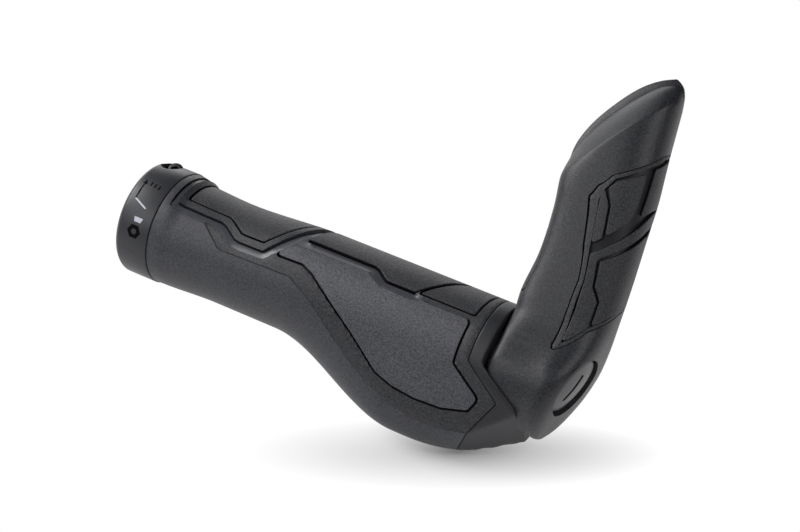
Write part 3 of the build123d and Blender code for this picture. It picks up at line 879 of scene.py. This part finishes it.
def make_clamp():
    """Split clamp ring: rounded inboard rim, slit, screw seat, notches and its markings."""
    turn = np.linspace(0, math.pi / 2, 14)
    rim = [(x, float(ring_radius(x))) for x in CLAMP_START + CLAMP_RIM * (1 - np.cos(turn))]
    wide = SEAM_X
    profile = [(CLAMP_START + 0.4, CLAMP_BORE), (CLAMP_START, CLAMP_BORE + 0.4)] + rim
    profile += [(wide - 0.3, CLAMP_RADIUS), (wide - 0.08, CLAMP_RADIUS - 0.1), (wide, CLAMP_RADIUS - 0.35),
                (wide, CLAMP_BORE + 0.4), (wide - 0.4, CLAMP_BORE)]
    ring = lathe("inner_clamp_skin", profile, [ANODISED], 192)
    spin = Matrix.Rotation(math.radians(CLAMP_SLIT_ANGLE), 4, "X")
    carve(ring, block("slit", (20, 10, CLAMP_SLIT), spin @ Matrix.Translation((wide / 2, 15, 0))))
    place = clamp_bolt_place()
    seat = [(-3, 0.0), (-3, 3.1), (12, 3.1), (12, 0.0)]
    carve(ring, lathe("screw_seat", seat, [ANODISED], 64, place))
    carve(ring, lathe("screw_hole", round_rod(1.55, -16, 0), [ANODISED], 32, place))
    for k in range(4):
        carve(ring, sector("notch", wide - TAB_LENGTH - 0.15, wide + 1, TAB_INNER - 0.15,
                           TAB_OUTER + 0.15, 90 * k + 20, TAB_ARC + 1.5, ANODISED))
    claim(ring, "inner_clamp", "grip")
    make_marks()


def around(points):
    """(x, angle) points on the clamp ring as (x, w)."""
    return [(x, GRIP_RADIUS * math.radians(90 - a)) for x, a in points]


def make_marks():
    """Generic printed marks: a tightening arrow, tick bars, a hexagon and a fine line."""
    per = math.degrees(1 / CLAMP_RADIUS)
    hexagon, heart = [[(6.1 + r * math.cos(a), 108 + r * per * math.sin(a))
                       for a in np.radians(np.arange(0, 360, 60))] for r in (2.3, 0.95)]
    marks = {
        "mark_arrow_stem": (BLACK_MARK, [(2.6, 60), (3.05, 60), (3.05, 76), (2.6, 76)]),
        "mark_arrow_head": (BLACK_MARK, [(2.8, 54), (3.6, 59.6), (2.1, 59.6)]),
        "mark_tick_one": (BLACK_MARK, [(4.6, 54.6), (5.1, 54.6), (5.1, 59.6), (4.6, 59.6)]),
        "mark_tick_two": (BLACK_MARK, [(6.1, 55.2), (6.6, 55.2), (6.6, 60.2), (6.1, 60.2)]),
        "mark_tick_three": (BLACK_MARK, [(7.6, 55.8), (8.1, 55.8), (8.1, 60.8), (7.6, 60.8)]),
        "mark_bar": (WHITE_MARK, [(2.7, 77.4), (3.1, 76.2), (7.6, 82.6), (7.2, 83.9)]),
        "mark_wedge": (WHITE_MARK, [(5.0, 93.4), (8.0, 93.4), (7.6, 98.2), (5.4, 98.2)]),
        "mark_hexagon": (BLACK_MARK, hexagon),
        "mark_hexagon_heart": (ANODISED, heart),
        "mark_line_one": (ANODISED, [(2.8, 128.6), (2.8, 127.6), (7.9, 133.8), (7.9, 134.8)]),
        "mark_line_two": (ANODISED, [(7.7, 134), (7.95, 134), (7.4, 160), (7.15, 160)]),
    }
    for name, (material, corners) in marks.items():
        outline = rounded(around(corners), 0.12, 0.4)
        pts, faces = tessellated(outline, [], 0.5)
        rise = 0.06 if name == "mark_hexagon_heart" else 0.03
        top = lifted(ring_base, pts, rise)
        bottom = lifted(ring_base, pts, -0.1)
        mark = shell(name, top, bottom, faces, [material])
        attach(mark, "grip")


# ------------------------------------------------------------------ horn

def horn_outline(points, inward=0.0, radius=0.7):
    """A plan outline laid on the horn, its corners rounded."""
    return rounded(moved_in(horn_plan(points), inward), radius)


def make_horn_skin():
    """Heel, eye and stem of the horn in one skin, pocketed for its rubber."""
    half = HORN_GIRTH * math.pi
    keys = np.array(HORN)[:, 0]
    v = np.linspace(keys[0], keys[-1], 100)
    t = np.linspace(-half, half, 86)
    insert = [horn_outline(INSERT, d, 4.0) for d in (0.0, CUT_WALL)]
    finger = [horn_outline(FINGER_PAD, d, 1.2) for d in (0.0, CUT_WALL)]
    boundary = np.vstack([[(-half, q) for q in v], [(q, v[-1]) for q in t[1:-1]],
                          [(half, q) for q in v[::-1]], [(q, v[0]) for q in t[1:-1][::-1]]])
    (x0, y0), (x1, y1) = TIP_CREASE
    crease = horn_plan([(x0 + (x1 - x0) * k, y0 + (y1 - y0) * k) for k in np.linspace(0.03, 0.95, 34)])
    ridge = [(side_line(crease, d), False) for d in (-0.25, 0.0, 0.25)]
    pts, faces = tessellated(boundary, [(q, True) for q in insert + finger] + ridge, 1.1)
    height = np.zeros(len(pts))
    for outline, depth in ((insert[0], INSERT_DEPTH), (finger[0], FINGER_DEPTH)):
        height -= np.clip(depth_in(pts, outline) / CUT_WALL, 0, 1) * (depth + 0.05)
    skin = lifted(horn_base, pts, height)
    first, same = shared_points(skin)
    faces = [f for f in same[faces] if len(set(f)) == 3]
    piece = new_piece("horn_core_skin", skin[first], faces, [HORN_SKIN], None, 28)

    def cap(work):
        bmesh.ops.holes_fill(work, edges=[e for e in work.edges if e.is_boundary])
        bmesh.ops.triangulate(work, faces=[f for f in work.faces if len(f.verts) > 4])

    reworked(piece.data, cap)
    return piece


def make_horn_core():
    """The horn's skin with its clamp lug, bore, slit and the seats of its hardware."""
    core = make_horn_skin()
    lug = lug_place()
    span = LUG_HEAD_SIDE + LUG_NUT_SIDE
    middle = Matrix.Translation((0, (LUG_HEAD_SIDE - LUG_NUT_SIDE) / 2, 15.25))
    carve(core, block("lug", (LUG_WIDTH, span, 14.5), lug @ middle, 2.4), "UNION")
    spigot = CORE_END + SPIGOT_LENGTH + 0.3
    mouth = [(HORN_START - 6, 0), (HORN_START - 6, CORE_RADIUS + 0.5), (HORN_START, CORE_RADIUS + 0.5),
             (HORN_START + 0.4, CORE_RADIUS + 0.06), (spigot, CORE_RADIUS + 0.06),
             (spigot, CLAMP_BORE + 0.4), (spigot + 0.4, CLAMP_BORE), (HORN_BORE_END, CLAMP_BORE),
             (HORN_BORE_END, 0)]
    carve(core, lathe("bore", mouth, [HORN_SKIN], 128))
    slit = lug @ Matrix.Translation((-5, 0, 18))
    carve(core, block("slit", (30, HORN_SLIT, 16), slit))
    bolt = horn_bolt_place()
    carve(core, lathe("head_seat", round_rod(4.6, -6, 6), [HORN_SKIN], 64, bolt))
    carve(core, lathe("shank_hole", round_rod(2.55, -30, 0), [HORN_SKIN], 48, bolt))
    nut = lug @ Matrix.Translation((0, -8, HORN_BOLT_OFFSET))
    carve(core, lathe("nut_seat", round_rod(4.05, -21, 7), [HORN_SKIN], 64, nut))
    disc = disc_place()
    seat = disc @ Matrix.Translation((0, 0, -0.3))
    carve(core, lathe("disc_seat", round_rod(DISC_RADIUS + 0.45, -1.5, 9), [HORN_SKIN], 96, seat))
    return core


def horn_bolt_place():
    """Place of the horn's clamp screw, its x axis out of the head."""
    lug = lug_place()
    head = lug @ Vector((0, LUG_HEAD_SIDE, HORN_BOLT_OFFSET))
    return place_along(head, lug.to_3x3() @ Vector((0, 1, 0)), (1, 0, 0))


def disc_place():
    """Place of the end disc, its x axis out of the horn's outboard face."""
    lean = math.radians(DISC_LEAN)
    return place_along(DISC_CENTRE, (math.cos(lean), -math.sin(lean), 0), (0, 0, 1))


def make_screw(node, size, place, length, body):
    """Socket head screw, its x axis out of the head and x = 0 at the head's face."""
    shank, head, height, hexagon = size
    edge = 0.14 * head
    curve = [(-edge + edge * math.sin(a), head - edge + edge * math.cos(a))
             for a in np.linspace(0, math.pi / 2, 6)]
    profile = [(-height - length, 0.0), (-height - length, shank * 0.8),
               (-height - length + shank * 0.25, shank), (-height, shank), (-height, head)]
    screw = lathe(node + "_skin", profile + curve + [(0, 0.0)], [BLACK_STEEL], 96, place)
    across = hexagon / math.sqrt(3)
    socket = [(-height * 0.62, 0.0), (-height * 0.55, across), (-0.25, across), (0.5, across * 1.28),
              (0.5, 0.0)]
    carve(screw, lathe("socket", socket, [BLACK_STEEL], 6, place))
    claim(screw, node, body)


def make_hardware():
    """Both clamp screws, the washer, the barrel nut and the end disc."""
    make_screw("inner_clamp_bolt", M3, clamp_bolt_place(), 10, "inner_screw")
    bolt = horn_bolt_place()
    make_screw("horn_clamp_bolt", M5, bolt, 17, "horn_screw")
    washer = [(-6.0, 2.7), (-6.0, 4.25), (-5.85, 4.4), (-5.15, 4.4), (-5.0, 4.25), (-5.0, 2.7)]
    ring = lathe("horn_clamp_washer_skin", washer, [STEEL], 96, bolt)
    claim(ring, "horn_clamp_washer", "horn")
    nut_place = lug_place() @ Matrix.Translation((0, -8, HORN_BOLT_OFFSET))
    barrel = [(-7, 0), (-7, 3.6), (-6.6, 4.0), (6.6, 4.0), (7, 3.6), (7, 0)]
    nut = lathe("horn_clamp_nut_skin", barrel, [STEEL], 64, nut_place)
    carve(nut, lathe("thread", round_rod(2.55, -20, 0), [STEEL], 48, bolt))
    claim(nut, "horn_clamp_nut", "horn")
    claim(make_disc(), "end_disc", "horn")


def make_disc():
    """The end disc: a low dome with a straight slot."""
    flat = DISC_RADIUS - 0.5
    rise = [(1.1 * (1 - (r / flat) ** 2) + 0.9, r) for r in np.linspace(flat, 0, 14)]
    profile = [(-1.5, 0.0), (-1.5, DISC_RADIUS), (0.4, DISC_RADIUS)] + rise
    place = disc_place()
    disc = lathe("end_disc_skin", profile, [DISC], 128, place)
    cut = place @ Matrix.Translation((1.7, 0, 2.2))
    carve(disc, block("slot", (1.6, 9, 1.6), cut, 0.4))
    return disc


def lug_place():
    """Place of the horn's clamp lug, its z axis out of the bar through the slit."""
    a = math.radians(SLIT_ANGLE)
    return place_along((LUG_X, 0, 0), (1, 0, 0), (0, math.cos(a), math.sin(a)))


def make_horn():
    """The horn, its inlay and their six pads."""
    claim(make_horn_core(), "horn_core", "horn")
    claim(make_insert(), "horn_insert", "horn")
    pads = {"horn_spine_pad": SPINE_PAD, "horn_upper_pad": UPPER_PAD, "horn_edge_pad": EDGE_PAD,
            "horn_side_pad": SIDE_PAD, "horn_lower_pad": LOWER_PAD}
    for node, outline in pads.items():
        pad = make_pad(node + "_skin", horn_base, lambda d, o=outline: horn_outline(o, d),
                       1.0, HORN_FLOOR - 0.02)
        claim(pad, node, "horn")
    finger = make_pad("horn_finger_pad_skin", horn_base, lambda d: horn_outline(FINGER_PAD, 0.3 + d, 1.2),
                      1.0, FINGER_DEPTH)
    claim(finger, "horn_finger_pad", "horn")


def make_insert():
    """The horn's rubber inlay: a textured border round a sunken smooth floor."""
    rim = horn_outline(INSERT, 0.18, 4.0)
    inner = [horn_outline(INSERT, d, 3.0) for d in (1.2, 1.32)]
    rings = [(horn_outline(INSERT, d, 4.0), True) for d in (0.25, 0.45)] + [(q, True) for q in inner]
    pts, faces = tessellated(rim, rings, 1.0)
    deep = np.maximum(depth_in(pts, rim), 0)
    t = np.clip(1 - deep / 0.27, 0, 1)
    height = -0.27 * (1 - np.sqrt(np.maximum(1 - t * t, 0)))
    height -= HORN_FLOOR * np.clip(depth_in(pts, inner[0]) / 0.12, 0, 1)
    # The sunken floor takes the darker colour as painted shade.
    marks = np.where(depth_in(pts[faces].mean(1), inner[0]) > 0, 1, 0)
    top = lifted(horn_base, pts, height)
    bottom = lifted(horn_base, pts, -INSERT_DEPTH)
    return shell("horn_insert_skin", top, bottom, faces, [STIPPLED, INLAY_SHADE], marks, 40)


# ------------------------------------------------------------------ stage, light and camera

def make_stage():
    """White paper that glows evenly, with a painted shadow under the grip: in a soft ellipse the glow
    gives way to grey paper, on which the real shadow also falls.
    """
    low, half = cad_box[0][2], 4.0
    mesh = bpy.data.meshes.new("floor")
    mesh.from_pydata([(-half, -half, low), (half, -half, low), (half, half, low), (-half, half, low)],
                     [], [(0, 1, 2, 3)])
    floor = bpy.data.objects.new("floor", mesh)
    bpy.context.scene.collection.objects.link(floor)
    made = bpy.data.materials.new("floor_painted_shadow")
    made.use_nodes = True
    nodes, links = made.node_tree.nodes, made.node_tree.links
    paper = nodes["Principled BSDF"]
    paper.inputs["Base Color"].default_value = (0.5, 0.5, 0.5, 1)
    paper.inputs["Roughness"].default_value = 0.95
    paper.inputs["Specular IOR Level"].default_value = 0.0
    glow = new_node(nodes, "Emission", Strength=1.0)
    where = nodes.new("ShaderNodeTexCoord")
    under = nodes.new("ShaderNodeMapping")
    under.vector_type = "TEXTURE"
    for name, value in (("Location", (0.117, -0.017, low)), ("Rotation", (0, 0, math.radians(31))),
                        ("Scale", (0.058, 0.014, 0.1))):
        under.inputs[name].default_value = value
    # The soft ellipse where the glow gives way to grey paper is a painted shadow.
    painted_shadow = nodes.new("ShaderNodeTexGradient")
    painted_shadow.gradient_type = "SPHERICAL"
    share = nodes.new("ShaderNodeMath")
    share.operation = "MULTIPLY"
    share.inputs[1].default_value = 0.93
    mix = nodes.new("ShaderNodeMixShader")
    for start, end in ((where.outputs["Object"], under.inputs["Vector"]),
                       (under.outputs["Vector"], painted_shadow.inputs["Vector"]),
                       (painted_shadow.outputs["Fac"], share.inputs[0]),
                       (share.outputs["Value"], mix.inputs["Fac"]),
                       (glow.outputs["Emission"], mix.inputs[1]),
                       (paper.outputs["BSDF"], mix.inputs[2]),
                       (mix.outputs["Shader"], nodes["Material Output"].inputs["Surface"])):
        links.new(start, end)
    mesh.materials.append(made)


def soft_box(name, place, target, size, power):
    """A square soft box at a place, turned to its target."""
    light = bpy.data.lights.new(name, "AREA")
    light.shape, light.size, light.size_y, light.energy = "RECTANGLE", size, size, power
    lamp = bpy.data.objects.new(name, light)
    lamp.location = place
    lamp.rotation_euler = (Vector(target) - Vector(place)).to_track_quat("-Z", "Y").to_euler()
    bpy.context.scene.collection.objects.link(lamp)


def view_axes():
    """The camera's right, up and back directions in the row frame."""
    turn, roll = math.radians(CAMERA_TURN), math.radians(CAMERA_ROLL)
    back = Vector((math.sin(turn), 0, math.cos(turn)))
    up = Vector((-math.cos(turn) * math.sin(roll), math.cos(roll), math.sin(turn) * math.sin(roll)))
    spin = Matrix.Rotation(math.radians(TILT), 3, "X")
    return spin @ up.cross(back), spin @ up, spin @ back


def make_light():
    """Soft boxes above and to the left of the camera's view, two dim ones behind as rims."""
    world = bpy.data.worlds.new("studio")
    bpy.context.scene.world = world
    world.use_nodes = True
    tree = world.node_tree
    glow = tree.nodes["Background"]
    glow.inputs["Color"].default_value = (1, 1, 1, 1)
    ray = tree.nodes.new("ShaderNodeLightPath")
    seen = new_node(tree.nodes, "MapRange", To_Min=0.02, To_Max=1.0)   # dim as a light, white to see
    tree.links.new(ray.outputs["Is Camera Ray"], seen.inputs["Value"])
    tree.links.new(seen.outputs["Result"], glow.inputs["Strength"])
    right, up, back = view_axes()
    target = Vector((0.09, 0.0, 0.0))
    boxes = (("key", (-0.7, 0.7, 0.2), 7.9), ("front_left", (-0.6, 0.2, 0.8), 2.6),
             ("front_right", (0.6, 0.2, 0.8), 2.9), ("left_rim", (-0.6, 0.7, -0.5), 1.0),
             ("top_rim", (0.0, 0.7, -0.7), 2.4))
    for name, way, power in boxes:
        aim = (right * way[0] + up * way[1] + back * way[2]).normalized()
        soft_box(name, target + aim * LIGHT_REACH, target, LIGHT_SIZE, power)


def make_camera():
    """The camera looks at the palm face from outboard, the bar running down to the right."""
    right, up, back = view_axes()
    lens = bpy.data.cameras.new("camera")
    lens.lens, lens.sensor_width = LENS, 36
    lens.clip_start, lens.clip_end = 0.01, 20
    camera = bpy.data.objects.new("camera", lens)
    axes = Matrix((right, up, back)).transposed().to_4x4()
    axes.translation = TO_ROW @ Vector(CAMERA_PLACE)
    camera.matrix_world = axes
    bpy.context.scene.collection.objects.link(camera)
    bpy.context.scene.camera = camera
    bpy.context.scene.view_settings.view_transform = "Standard"


make_camera()
make_stage()
make_light()
make_clamp()
make_grip()
make_horn()
make_hardware()
